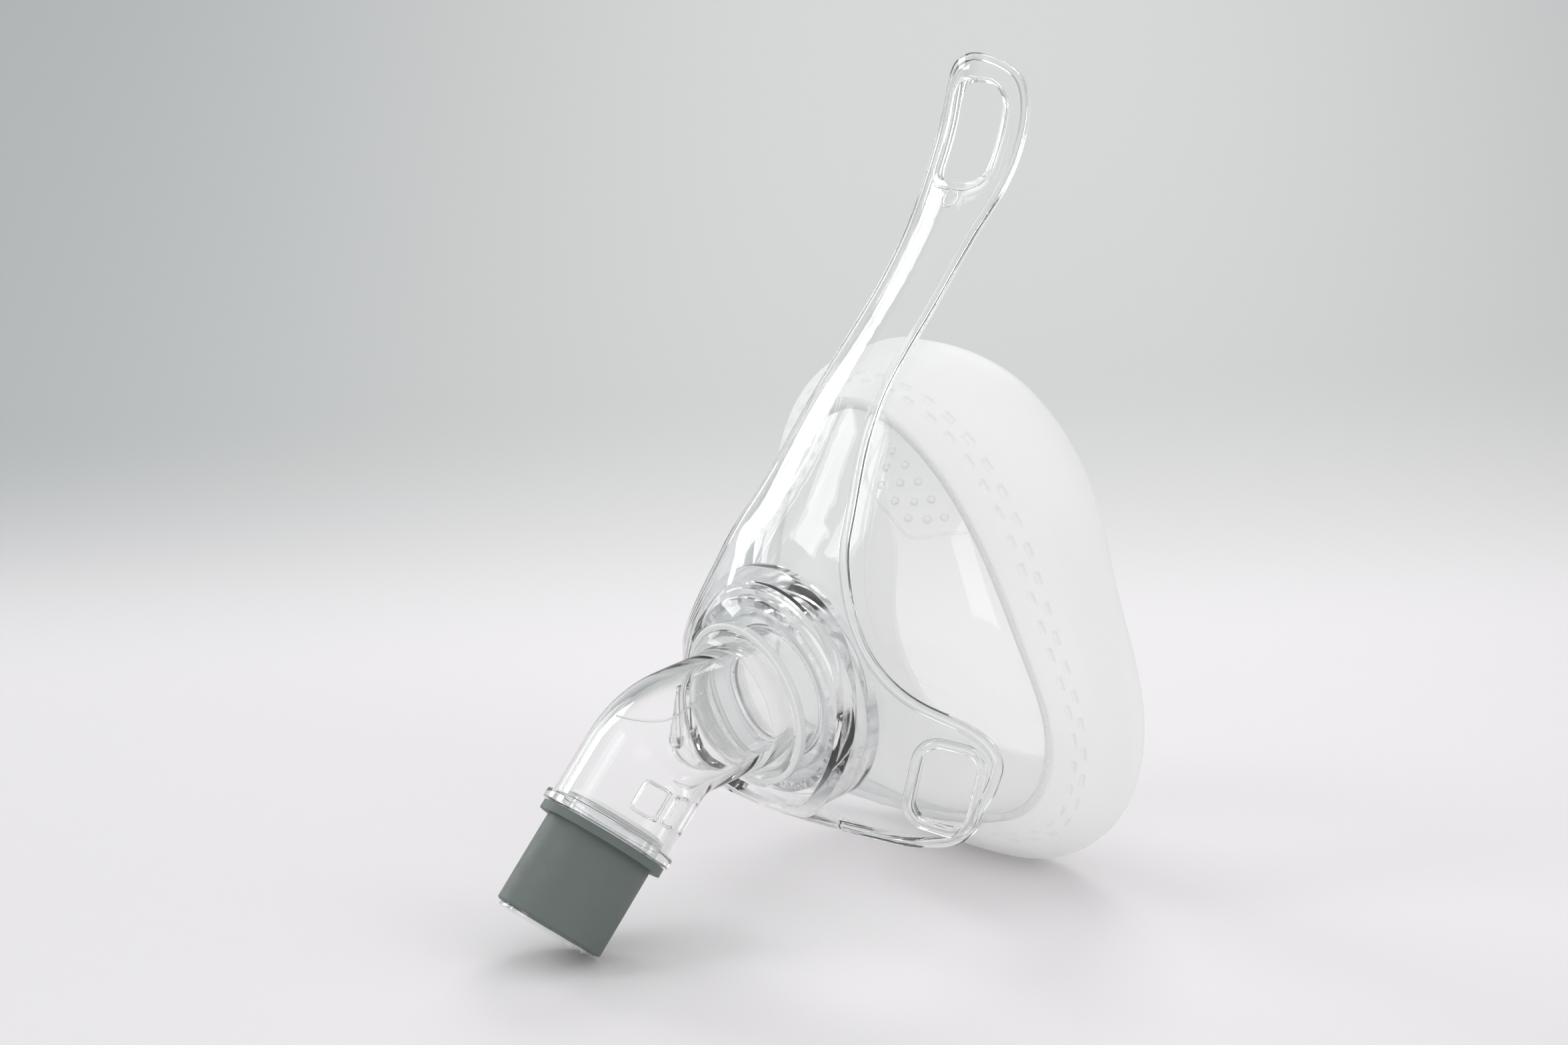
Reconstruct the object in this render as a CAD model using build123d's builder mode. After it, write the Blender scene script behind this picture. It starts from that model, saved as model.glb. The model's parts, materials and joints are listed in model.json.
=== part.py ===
"""Full face breathing mask: clear frame with forehead arm, cushion on its shell, swivel elbow and connector.

Millimetres. +X is the wearer's left, -Y the front where the elbow is, +Z up. The mask stands as it is put
down: on the chin edge of the cushion and the rim of the hose connector. The origin is on the ground below
its middle.
"""
from build123d import *
from math import copysign, cos, hypot, pi, radians, sin, sqrt, tan
import os

os.makedirs("parts", exist_ok=True)

# Stance
hub_lean = 10.0            # the hub axis points forward and down by this angle
elbow_bend = 42.5          # between the hub axis and the connector axis
elbow_turn = -6.0          # the elbow is swivelled this far about the hub axis
hub_y = -10.6              # the hub's front ring lies this far along Y from the origin

# Hose connector and elbow
connector_r = 11.0         # standard 22 mm conical port, outside
connector_wall = 1.3
connector_length = 20.0
connector_flange_r = 12.9
connector_flange = 1.7
sleeve_wall = 1.1
sleeve_proud = 0.8         # the clear sleeve stands out of the connector's end
sleeve_lip = 0.55          # its snap lip reaches this far over the connector's end
sleeve_head = 3.0          # height of its head above the connector, inside the elbow
swivel_gap = 0.05          # radial running fit of both swivels
axial_gap = 0.3            # play along the swivel axes and behind soft parts
edge = 0.3                 # small chamfers
elbow_r = 12.4
elbow_wall = 1.8
elbow_flange_r = 13.5
elbow_flange = 2.0
reach = 21.0               # from the hub's front ring to the bend
drop = 40.0                # from the bend to the connector's end
bend_r = 14.0

# Air inlet windows and their flap, on the elbow's chin side
window_low = 5.2           # above the elbow's flange
window_height = 6.2
window_angle = 74.0        # both windows together
window_rib = 2.2
flap_gap = 1.2             # between the flap and the elbow's bore
flap_thick = 0.7
flap_hinge = 7.2           # the flap's hinge line, from the tube's axis

# Hub
disc_r = 15.0              # the elbow's dished disc
disc_thick = 2.0
disc_chamfer = 0.5
blend_height = 6.0         # the tube's flare into the disc starts this far above it
blend_width = 0.55         # and is this wide half way down
spigot_r = 13.0            # the elbow's spigot, which turns in the hub ring
spigot_length = 9.0
snap_height = 0.6
snap_length = 0.8          # from the snap lip's front to the end of the spigot
snap_land = 0.3
seal_width = 1.4
seal_proud = 0.3
ring_front_r = 16.9        # the hub ring's front edge
ring_hollow = 0.35         # how far its front flank is dished
ring_step_r = 19.6
ring_depth = 4.6           # from its front edge to its step
ring_step = 1.1
ring_sleeve_r = 15.9
fit_gap = 0.1              # between the nested rings of the hub
port_wall = 2.0
port_lip = 0.5             # the port tube starts this far behind the hub ring's step
port_shoulder = 1.6        # width of its shoulder behind the collar
collar_r = 24.0
collar_wall = 1.8
collar_depth = 7.5
collar_base = 2.4          # height of the collar's plain base
collar_steps = ((19.9, 0.0), (21.3, 1.6), (22.7, 3.2))

# Frame
frame_wall = 2.0
tip_height = 121.7         # above the hub's front ring
arm_slot = (14.0, 20.5)
arm_slot_height = 106.2
arm_slot_corner = 4.5
wing_slot = (10.8, 14.6)
wing_slot_place = (39.2, -11.0)
wing_slot_turn = -12.0
wing_slot_corner = 3.2
slot_rim = 1.4             # width of the raised rim round a slot
slot_rim_proud = 0.7
slot_reach = 10.0          # the slot cuts go this far through the bent sheet each way

# The sheet that the frame is cut from. Rows: height above the hub, how far back its front face lies there,
# the radius of its nose and the angle that its flanks sweep back to
sheet_reach = 52.0
sheet_points = 5           # each side of the middle
frame_stations = (
    (-32.0, 15.0, 110.0, 26.0),
    (-24.0, 10.5, 110.0, 26.0),
    (-13.0, -1.0, 36.0, 47.0),
    (-2.0, -3.5, 30.0, 49.0),
    (8.0, -2.2, 31.0, 49.0),
    (17.0, 1.2, 33.0, 49.0),
    (26.0, 5.0, 32.0, 48.0),
    (36.0, 9.8, 21.0, 48.0),
    (48.0, 17.5, 17.0, 47.0),
    (60.0, 25.8, 14.0, 45.0),
    (72.0, 36.3, 14.0, 45.0),
    (84.0, 45.7, 14.0, 45.0),
    (96.0, 53.6, 17.0, 45.0),
    (108.0, 59.0, 20.0, 45.0),
    (126.0, 63.0, 20.0, 45.0),
)

# Cushion and its shell, on planes parallel to the rim of the shell
rim_lean = 12.0
rim_back = 41.0            # the rim's plane passes this far behind the hub's front ring
shell_wall = 1.8
rim_outline = ((0.0, 57.0), (20.5, 46.0), (33.0, 24.5), (38.2, 9.0), (41.2, -5.0), (31.5, -24.2),
               (16.5, -29.8), (0.0, -31.0))
band_outline = ((0.0, 60.5), (22.0, 53.0), (36.0, 32.0), (41.0, 13.0), (44.6, -5.0), (35.3, -28.0),
                (18.0, -35.6), (0.0, -37.5))
bulb_outline = ((0.0, 62.5), (24.0, 56.5), (38.5, 37.0), (42.0, 16.0), (44.8, -8.0), (34.5, -34.0),
                (19.0, -43.6), (0.0, -45.6))
band_back = 4.6            # behind the rim's plane
bulb_back = 15.0
bulb_length = 6.5          # the bulb runs nearly straight back for this length
bulb_swell = 0.6           # and is this much wider where it starts
face_back = 27.0
face_drop = 1.6            # the round edge of the bulb lies this far in front of the face seal
edge_roll = 4.5            # how far the bulb has rolled in at its round edge
crest_roll = 10.5          # and at the crest of the face seal
lip_roll = 17.0            # and at the seal's inner edge
lip_drop = 1.0             # the inner edge lies this far in front of the crest
cushion_wall = 2.0
rim_lap = 0.4              # the cushion is this much wider than the shell's rim
dome_gap = 0.6             # the shell's dome starts this far behind the collar
dome_flare = 2.0           # and is this much wider than the port tube there

# Worked out from the sizes above
hub_axis = Vector(0, -cos(radians(hub_lean)), -sin(radians(hub_lean)))
elbow_side = Vector(1, 0, 0).rotate(Axis((0, 0, 0), hub_axis), elbow_turn)
tube_axis = hub_axis.rotate(Axis((0, 0, 0), elbow_side), elbow_bend)
sleeve_r = connector_r - connector_wall - swivel_gap
foot_r = sleeve_r + sleeve_lip
hub_z = foot_r * sqrt(1 - tube_axis.Z ** 2) - hub_axis.Z * reach - tube_axis.Z * (drop + sleeve_proud)
hub = Vector(0, hub_y, hub_z)
bend = hub + hub_axis * reach
rim_axis = Vector(0, cos(radians(rim_lean)), sin(radians(rim_lean)))
rim_centre = hub + Vector(0, rim_back, 0)
elbow_end = drop - connector_length - axial_gap
elbow_bore_r = elbow_r - elbow_wall


def hub_plane(forward):
    """The plane square to the hub axis, this far in front of the hub's front ring; its Y points up."""
    return Plane(origin=hub + hub_axis * forward, x_dir=(1, 0, 0), z_dir=hub_axis)


def tube_plane(down):
    """The plane square to the connector axis, this far below the bend; its Y points up and forward."""
    return Plane(origin=bend + tube_axis * down, x_dir=elbow_side, z_dir=tube_axis)


def rim_plane(back):
    """The plane parallel to the shell's rim, this far behind it; its Y points up."""
    return Plane(origin=rim_centre + rim_axis * back, x_dir=(1, 0, 0), z_dir=-rim_axis)


def half_section(plane):
    """The plane through an axis for a profile revolved about it: X is the radius, Y runs along the axis."""
    return Plane(origin=plane.origin, x_dir=plane.x_dir, z_dir=plane.x_dir.cross(plane.z_dir))


def ring_points(outline):
    """A half outline's points, mirrored to go all the way round."""
    return [*outline, *((-x, y) for x, y in reversed(outline[1:-1]))]


def grown(outline, amount):
    """The outline moved outwards from its middle by this amount."""
    middle = (outline[0][1] + outline[-1][1]) / 2
    result = []
    for x, y in outline:
        length = hypot(x, y - middle)
        result.append((x * (1 + amount / length), middle + (y - middle) * (1 + amount / length)))
    return result


def station_value(height, column):
    """A column of frame_stations, straight between its rows."""
    rows = zip(frame_stations, frame_stations[1:])
    low, high = next(pair for pair in rows if height <= pair[1][0] or pair[1] is frame_stations[-1])
    return low[column] + (high[column] - low[column]) * (height - low[0]) / (high[0] - low[0])


def sheet_point(station, x):
    """How far back the sheet's front face lies at x, and its slope there: a hyperbola with a round nose."""
    _, front, radius, angle = station
    flank = tan(radians(angle))
    nose = radius * flank ** 2
    root = sqrt(1 + (x * flank / nose) ** 2)
    return front + nose * (root - 1), x * flank ** 2 / (nose * root)


def sheet_curve(station, depth):
    """Points across the sheet at a station, this deep behind its front face."""
    result = []
    for step in range(-sheet_points, sheet_points + 1):
        x = copysign(sheet_reach * (abs(step) / sheet_points) ** 1.3, step)
        y, slope = sheet_point(station, x)
        length = hypot(1, slope)
        result.append((x - depth * slope / length, hub_y + y + depth / length))
    return result


def front_sheet():
    """A sheet lofted through the frame's stations, whose front is the front face of the frame."""
    with BuildPart() as sheet:
        for station in frame_stations:
            with BuildSketch(Plane.XY.offset(hub_z + station[0])):
                with BuildLine():
                    front_curve = Spline(*sheet_curve(station, 0))
                    back_curve = Spline(*sheet_curve(station, frame_wall))
                    Line(front_curve @ 0, back_curve @ 0)
                    Line(front_curve @ 1, back_curve @ 1)
                make_face()
        loft()
    return sheet.part


# Frame: one clear moulding of forehead arm, two wings with strap slots, and the collar round the hub
arm_half = ((5.2, 120.6), (9.3, 118.0), (11.3, 113.5), (11.9, 105.0), (11.4, 97.5), (9.7, 89.0), (8.8, 74.0))
blade_half = ((9.2, 60.0), (11.2, 48.0), (14.7, 36.0), (20.6, 22.0), (26.0, 13.6), (35.5, 4.5), (43.4, -0.3))
wing_half = ((46.7, -5.6), (45.6, -13.0), (43.4, -19.8), (36.7, -23.2), (16.1, -23.8), (0.0, -24.2))
front_view = Plane(origin=(0, hub_y, hub_z), x_dir=(1, 0, 0), z_dir=(0, -1, 0))
collar_front = -ring_depth - ring_step
collar_back = collar_front - collar_depth
port_r = ring_sleeve_r + fit_gap + port_wall


def front_face_y(x, height):
    """How far back the frame's front face lies at this point of the front view."""
    return hub_y + sheet_point([station_value(height, column) for column in range(4)], x)[0]


def slot_plane(x, height):
    """The plane on the frame's front face over this point of the front view, square to the bent sheet there."""
    sideways = front_face_y(x + 0.5, height) - front_face_y(x - 0.5, height)
    upwards = front_face_y(x, height + 0.5) - front_face_y(x, height - 0.5)
    outward = Vector(sideways, -1, upwards)
    return Plane(origin=(x, front_face_y(x, height), hub_z + height), x_dir=Vector(0, 0, -1).cross(outward),
                 z_dir=outward)


def hub_circle(forward, radius):
    """A disc square to the hub axis, for the cuts and rings round it."""
    with BuildSketch(hub_plane(forward)) as sketch:
        Circle(radius)
    return sketch.sketch


arm_slot_plane = slot_plane(0, arm_slot_height)
wing_slot_plane = slot_plane(*wing_slot_place)

with BuildPart() as slot_cuts:
    with BuildSketch(arm_slot_plane):
        RectangleRounded(*arm_slot, arm_slot_corner)
    with BuildSketch(wing_slot_plane):
        with Locations(Rotation(0, 0, wing_slot_turn)):
            RectangleRounded(*wing_slot, wing_slot_corner)
    extrude(amount=slot_reach, both=True)
    mirror(about=Plane.YZ)

with BuildPart() as rim_pads:
    with BuildSketch(wing_slot_plane):
        with Locations(Rotation(0, 0, wing_slot_turn)):
            RectangleRounded(*(side + 2 * slot_rim for side in wing_slot), wing_slot_corner + slot_rim)
    extrude(amount=slot_reach, both=True)
    mirror(about=Plane.YZ)

with BuildPart() as blade_outline:
    with BuildSketch(front_view):
        with BuildLine():
            Spline((0, tip_height), *arm_half, *blade_half, *wing_half,
                   tangents=((1, 0), (-1, 0)), tangent_scalars=(1, 1))
            mirror(about=Plane.YZ)
        make_face()
    extrude(amount=tip_height, both=True)

front_face = front_sheet().faces().sort_by(Axis.Y)[0]

with BuildPart() as collar_core:
    extrude(front_face.moved(Location((0, frame_wall / 2, 0))), amount=collar_r, dir=(0, 1, 0))
    with BuildSketch(hub_plane(collar_back)):
        Circle(collar_r)
        Circle(collar_r - collar_wall, mode=Mode.SUBTRACT)
    extrude(amount=2 * collar_r, mode=Mode.INTERSECT)

with BuildPart() as frame:
    thicken(front_face & blade_outline.part, amount=-frame_wall)
    for rim_face in (front_face & rim_pads.part).faces():
        thicken(rim_face, amount=slot_rim_proud, both=True)
    add(slot_cuts.part, mode=Mode.SUBTRACT)
    extrude(hub_circle(collar_back, collar_r - collar_wall), amount=2 * collar_r, mode=Mode.SUBTRACT)
    add(collar_core.part)
    with BuildSketch(half_section(hub_plane(collar_front))):
        with BuildLine():
            points = [(port_r + fit_gap, -collar_depth), (port_r + fit_gap, 0)]
            step_ends = (*(down for _, down in collar_steps[1:]), collar_depth - collar_base)
            for (radius, down), end in zip(collar_steps, step_ends):
                points += [(radius - edge, -down), (radius, -down - edge), (radius, -end)]
            points += [(collar_r - edge, collar_base - collar_depth),
                       (collar_r, collar_base - edge - collar_depth), (collar_r, -collar_depth)]
            Polyline(*points, close=True)
        make_face()
    revolve(axis=Axis(hub, hub_axis))

# Cushion shell: a clear dome from the port tube to the rim that carries the cushion
dome_start = collar_back - dome_gap
port_front = collar_front - port_lip
shell_skin = shell_wall / sqrt(2)
dome_shares = (0.0, 0.2, 0.45, 0.75, 1.0)
dome_bulge = (0.0, 0.5, 1.0, 1.0, 1.0, 1.0, 1.0, 1.0)


def dome_outline(share):
    """The dome's outline at this share of the way back: nearly straight at the top, bulged out at the sides."""
    count = len(rim_outline) - 1
    radius = port_r + dome_flare
    circle = [(radius * sin(pi * i / count), radius * cos(pi * i / count)) for i in range(count + 1)]
    result = []
    for start, end, bulge in zip(circle, rim_outline, dome_bulge):
        way = share + (sin(pi / 2 * share) ** 0.9 - share) * bulge
        result.append((start[0] + (end[0] - start[0]) * way, start[1] + (end[1] - start[1]) * way))
    return result


def dome_plane(share):
    """The plane at this share of the way from the port to the rim."""
    start = hub + hub_axis * dome_start
    lean = radians(hub_lean + (rim_lean - hub_lean) * share)
    origin = start + (rim_centre - start) * share
    return Plane(origin=origin, x_dir=(1, 0, 0), z_dir=(0, -cos(lean), -sin(lean)))


def lofted(sections):
    """A solid through closed smooth outlines, each given with its plane."""
    with BuildPart() as form:
        for plane, outline in sections:
            with BuildSketch(plane):
                with BuildLine():
                    Spline(*ring_points(outline), periodic=True)
                make_face()
        loft()
    return form.part


with BuildPart() as cushion_shell:
    add(lofted([(dome_plane(share), dome_outline(share)) for share in dome_shares]))
    add(lofted([(dome_plane(share).offset(-shell_skin), grown(dome_outline(share), -shell_skin))
                for share in dome_shares]), mode=Mode.SUBTRACT)
    with BuildSketch(half_section(hub_plane(0))):
        with BuildLine():
            Polyline((port_r - port_wall, port_front), (port_r, port_front), (port_r, collar_back),
                     (port_r + port_shoulder, collar_back), (port_r + port_shoulder, dome_start - shell_skin),
                     (port_r - port_wall, dome_start - shell_skin), close=True)
        make_face()
    revolve(axis=Axis(hub, hub_axis))
    extrude(hub_circle(dome_start, port_r - port_wall), amount=3 * shell_skin, both=True, mode=Mode.SUBTRACT)

# Cushion: one silicone moulding, a bulb that rolls in to the face seal
cushion_sections = (
    (0.0, grown(rim_outline, rim_lap)),
    (band_back, band_outline),
    (bulb_back, grown(bulb_outline, bulb_swell)),
    (bulb_back + bulb_length, bulb_outline),
    (face_back - face_drop, grown(bulb_outline, -edge_roll)),
    (face_back, grown(bulb_outline, -crest_roll)),
    (face_back - lip_drop, grown(bulb_outline, -lip_roll)),
)
cavity_sections = (
    (-cushion_wall / 2, grown(rim_outline, -cushion_wall)),
    (band_back + cushion_wall / 2, grown(band_outline, -cushion_wall)),
    (bulb_back - cushion_wall / 4, grown(bulb_outline, bulb_swell - cushion_wall)),
    (bulb_back + bulb_length - cushion_wall / 2, grown(bulb_outline, -cushion_wall)),
    (face_back - face_drop - cushion_wall, grown(bulb_outline, -edge_roll - cushion_wall / 2)),
    (face_back - cushion_wall, grown(bulb_outline, -crest_roll)),
    (face_back - lip_drop - cushion_wall, grown(bulb_outline, -lip_roll)),
)
with BuildPart() as cushion:
    add(lofted([(rim_plane(back), outline) for back, outline in cushion_sections]))
    add(lofted([(rim_plane(back), outline) for back, outline in cavity_sections]), mode=Mode.SUBTRACT)
    with BuildSketch(rim_plane(face_back + lip_drop)):
        with BuildLine():
            Spline(*ring_points(grown(bulb_outline, -lip_roll - lip_drop)), periodic=True)
        make_face()
    extrude(amount=3 * cushion_wall, mode=Mode.SUBTRACT)

# Hub ring: snapped into the collar, it holds the elbow
disc_back = -disc_thick / 2 - axial_gap
ring_back = axial_gap + snap_length - spigot_length
seal_seat_r = disc_r + seal_width + fit_gap / 2

with BuildPart() as hub_ring:
    with BuildSketch(half_section(hub_plane(0))):
        with BuildLine():
            Polyline((spigot_r + swivel_gap, disc_back), (seal_seat_r, disc_back), (seal_seat_r, 0),
                     (ring_front_r, 0))
            ThreePointArc((ring_front_r, 0), ((ring_front_r + ring_step_r) / 2 - ring_hollow, -ring_depth / 2),
                          (ring_step_r, -ring_depth))
            Polyline((ring_step_r, -ring_depth), (ring_step_r, collar_front), (ring_sleeve_r, collar_front),
                     (ring_sleeve_r, ring_back), (spigot_r + swivel_gap, ring_back),
                     (spigot_r + swivel_gap, disc_back))
        make_face()
    revolve(axis=Axis(hub, hub_axis))

# Seal ring: pale silicone round the elbow's disc
with BuildPart() as seal_ring:
    with BuildSketch(half_section(hub_plane(0))):
        with BuildLine():
            Polyline((disc_r + axial_gap, disc_back), (disc_r + seal_width, disc_back),
                     (disc_r + seal_width, seal_proud - edge), (disc_r + seal_width - edge, seal_proud),
                     (disc_r + axial_gap, seal_proud), close=True)
        make_face()
    revolve(axis=Axis(hub, hub_axis))

# Elbow: tube, dished disc, spigot and flange in one clear moulding
with BuildPart() as elbow:
    with BuildLine() as tube_path:
        FilletPolyline(hub, bend, bend + tube_axis * elbow_end, radius=bend_r)
    with BuildSketch(hub_plane(0)):
        Circle(elbow_r)
    sweep(path=tube_path.wire())
    with BuildSketch(half_section(hub_plane(0))):
        with BuildLine():
            ThreePointArc((elbow_r, blend_height),
                          (elbow_r + blend_width, (blend_height - disc_thick / 2) / 2),
                          (disc_r - disc_chamfer, disc_thick / 2))
            Polyline((disc_r - disc_chamfer, disc_thick / 2), (disc_r, disc_thick / 2 - disc_chamfer),
                     (disc_r, -disc_thick / 2), (spigot_r, -disc_thick / 2), (spigot_r, snap_length - spigot_length),
                     (spigot_r + snap_height, snap_length - spigot_length),
                     (spigot_r + snap_height, snap_length - snap_land - spigot_length),
                     (spigot_r, -spigot_length), (0, -spigot_length), (0, blend_height), (elbow_r, blend_height))
        make_face()
    revolve(axis=Axis(hub, hub_axis))
    with BuildSketch(tube_plane(elbow_end)):
        Circle(elbow_flange_r)
    extrude(amount=-elbow_flange)
    with BuildLine() as bore_path:
        FilletPolyline(hub - hub_axis * spigot_length, bend, bend + tube_axis * elbow_end, radius=bend_r)
    with BuildSketch(hub_plane(-spigot_length)):
        Circle(elbow_bore_r)
    sweep(path=bore_path.wire(), mode=Mode.SUBTRACT)
    with BuildSketch(tube_plane(elbow_end - elbow_flange - window_low)):
        Circle(2 * elbow_r)
        with BuildLine():
            spread = radians(window_angle / 2)
            Polyline((0, 0), (4 * elbow_r * sin(spread), -4 * elbow_r * cos(spread)),
                     (-4 * elbow_r * sin(spread), -4 * elbow_r * cos(spread)), close=True)
        make_face(mode=Mode.INTERSECT)
        Rectangle(window_rib, 4 * elbow_r, mode=Mode.SUBTRACT)
    extrude(amount=-window_height, mode=Mode.SUBTRACT)

# Connector: grey swivel tube with its flange
tube_foot = bend + tube_axis * drop
tube_line = Axis(tube_foot, -tube_axis)


def tube_section():
    """The plane for profiles round the connector's axis: X is the radius, Y the height above its end."""
    return half_section(Plane(origin=tube_foot, x_dir=elbow_side, z_dir=-tube_axis))


with BuildPart() as connector:
    with BuildSketch(tube_section()):
        with BuildLine():
            inside = connector_r - connector_wall
            under = connector_length - connector_flange
            Polyline((inside, 0), (connector_r - edge, 0), (connector_r, edge), (connector_r, under),
                     (connector_flange_r, under), (connector_flange_r, connector_length),
                     (inside, connector_length), close=True)
        make_face()
    revolve(axis=tube_line)

# Sleeve: the clear inner tube that the connector turns on; its head seats the flap
sleeve_top = connector_length + axial_gap + sleeve_head
with BuildPart() as connector_sleeve:
    with BuildSketch(tube_section()):
        with BuildLine():
            Polyline((sleeve_r - sleeve_wall, -sleeve_proud), (foot_r, -sleeve_proud), (foot_r, edge - sleeve_proud),
                     (foot_r - edge / 2, -edge / 2), (sleeve_r, -edge / 2), (sleeve_r, connector_length + axial_gap),
                     (elbow_bore_r - fit_gap / 2, connector_length + axial_gap),
                     (elbow_bore_r - fit_gap / 2, sleeve_top), (sleeve_r - sleeve_wall, sleeve_top), close=True)
        make_face()
    revolve(axis=tube_line)

# Flap: silicone disc across the bore, bending at the hinge line; its root is held on the sleeve's head
flap_r = elbow_bore_r - flap_gap
flap_plane = Plane(origin=tube_foot - tube_axis * sleeve_top, x_dir=elbow_side, z_dir=-tube_axis)

with BuildPart() as flap_root:
    with BuildSketch(flap_plane):
        Circle(elbow_bore_r - fit_gap / 2)
        with Locations((0, flap_hinge + flap_thick)):
            Rectangle(4 * flap_r, 4 * flap_r, align=(Align.CENTER, Align.MIN), mode=Mode.INTERSECT)
    extrude(amount=flap_thick + axial_gap)

with BuildPart() as valve_flap:
    with BuildSketch(flap_plane.offset(axial_gap)):
        Circle(flap_r)
        with Locations((0, flap_hinge)):
            Rectangle(4 * flap_r, 4 * flap_r, align=(Align.CENTER, Align.MAX), mode=Mode.INTERSECT)
    extrude(amount=flap_thick)

pieces = {
    "frame": frame,
    "cushion_shell": cushion_shell,
    "cushion": cushion,
    "hub_ring": hub_ring,
    "seal_ring": seal_ring,
    "elbow": elbow,
    "connector": connector,
    "connector_sleeve": connector_sleeve,
    "flap_root": flap_root,
    "valve_flap": valve_flap,
}
for name, piece in pieces.items():
    piece.part.label = name
    export_step(piece.part, f"parts/{name}.step")
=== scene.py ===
"""Full face breathing mask: clear mouldings, milky silicone cushion, grey hose connector, on a pale floor.

Meshes are in metres. Their surfaces are grids of points worked out with numpy from the sizes below, which are
in millimetres unless they say otherwise.
"""
import bpy
import bmesh
import json
from math import cos, pi, radians, sin
import numpy as np
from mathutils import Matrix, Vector
from mathutils.bvhtree import BVHTree


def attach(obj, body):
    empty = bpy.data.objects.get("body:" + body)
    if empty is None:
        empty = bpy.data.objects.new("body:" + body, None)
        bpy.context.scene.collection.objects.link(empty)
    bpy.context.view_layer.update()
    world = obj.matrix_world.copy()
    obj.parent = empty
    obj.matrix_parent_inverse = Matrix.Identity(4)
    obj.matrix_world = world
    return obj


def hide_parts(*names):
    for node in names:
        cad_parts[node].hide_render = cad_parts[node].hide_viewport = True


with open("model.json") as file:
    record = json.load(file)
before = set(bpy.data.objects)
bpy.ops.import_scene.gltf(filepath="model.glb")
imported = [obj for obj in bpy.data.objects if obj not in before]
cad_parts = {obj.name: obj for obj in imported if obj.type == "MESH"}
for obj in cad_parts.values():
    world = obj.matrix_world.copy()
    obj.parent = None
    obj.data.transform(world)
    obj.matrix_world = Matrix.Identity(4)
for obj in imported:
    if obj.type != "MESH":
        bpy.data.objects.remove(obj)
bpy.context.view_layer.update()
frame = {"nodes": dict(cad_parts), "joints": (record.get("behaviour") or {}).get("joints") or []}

MM = 0.001
MIRROR = np.array((-1, 1, 1))

# The camera of the photograph, as fitted to it: its frame and focal length in pixels, its sensor, its angles,
# and how far in front of it, in metres, and at which pixel the hub lies
PHOTO_WIDTH = 2352
PHOTO_HEIGHT = 1568
FOCAL_PIXELS = 4500
SENSOR_WIDTH = 36
CAMERA_AZIMUTH = radians(49.0)
CAMERA_ELEVATION = radians(11.8)
HUB_DEPTH = 575 * MM
HUB_PIXEL = (1115, 1057)

# The hub's front ring, in metres, and the way forward out of it, from the elbow's swivel joint
JOINTS = {joint["name"]: joint for joint in frame["joints"]}
HUB = np.array(JOINTS["elbow_swivel"]["pos_m"])
HUB_AXIS = np.array(JOINTS["elbow_swivel"]["axis"])

# Points nearer than this are joined, in copies of CAD nodes and in trim; faces that meet more flatly than the
# crease look smooth; and the elbow's edges are rounded by a bevel of this width
NODE_MERGE = 0.002
TRIM_MERGE = 0.005
CREASE = radians(30.0)
ELBOW_ROUNDING = 0.25

# Zone of the elbow's disc: within this radius of the hub axis, between these two distances forward of the hub
DISC_ZONE = (15.6, -0.8, 5.0)

# Cushion outlines, on planes parallel to the shell's rim: half of each, from the top round to the chin
RIM_LEAN = radians(12.0)
RIM_BACK = 41.0
RIM = ((0, 57), (20.5, 46), (33, 24.5), (38.2, 9), (41.2, -5), (31.5, -24.2), (16.5, -29.8), (0, -31))
BAND = ((0, 60.5), (22, 53), (36, 32), (41, 13), (44.6, -5), (35.3, -28), (18, -35.6), (0, -37.5))
BULB = ((0, 62.5), (24, 56.5), (38.5, 37), (42, 16), (44.8, -8), (34.5, -34), (19, -43.6), (0, -45.6))
# Rows of the cushion. Its outside: how far behind the rim, which outline, how far outside it.
# Its inside: how much further back and further out than the outside
CUSHION_WALL = 2.0
CUSHION_ROWS = (
    (0.0, RIM, 0.4, 0.0, -CUSHION_WALL - 0.4),
    (4.6, BAND, 0.0, 1.0, -CUSHION_WALL),
    (15.0, BULB, 0.6, -0.5, -CUSHION_WALL),
    (21.5, BULB, 0.0, -1.0, -CUSHION_WALL),
    (25.4, BULB, -4.5, -CUSHION_WALL, -CUSHION_WALL / 2),
    (27.0, BULB, -10.5, -CUSHION_WALL, 0.0),
    (26.0, BULB, -17.0, -CUSHION_WALL, 0.0),
)

# Windows sunk in the cushion's band: how many round it, how far down their rows start, how wide a row is, how
# many rows, how deep they are, how high a wave is where a window begins, and how steep its sides are
BAND_WINDOWS = 50
BAND_START = 3.4
BAND_PITCH = 2.4
BAND_ROWS = 2
BAND_DEPTH = 0.45
WINDOW_LEVEL = 0.1
WINDOW_STEEPNESS = 4
# The share of the cushion's outside, from the rim, that has half of its rows of points, for those windows
BAND_SHARE = 0.26

# Pixels of the photograph where small moulded details lie
GRIP_DOTS = (
    (1337, 676), (1329, 701), (1357, 697), (1321, 727), (1350, 724), (1377, 722),
    (1342, 751), (1371, 752), (1397, 749), (1362, 777), (1391, 779), (1417, 776),
)
GRIP_EDGE = ((1336, 640), (1300, 720), (1310, 745), (1345, 785), (1365, 805), (1400, 803), (1450, 800))
MOULD_MARK = (1425, 297)
ELBOW_OVAL = ((925, 1074), (960, 1081), (1000, 1080), (1030, 1064), (1052, 1040))
# Their sizes: radius, height and sunk edge of a dot, radius and stretch of the mark, radii of the fine lines
DOT_RADIUS = 0.85
DOT_HEIGHT = 0.75
DOT_SUNK = 0.15
MARK_RADIUS = 1.6
MARK_STRETCH = 1.15
MARK_LINE = 0.25
GRIP_LINE = 0.3
PARTING_LINE = 0.2

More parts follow.
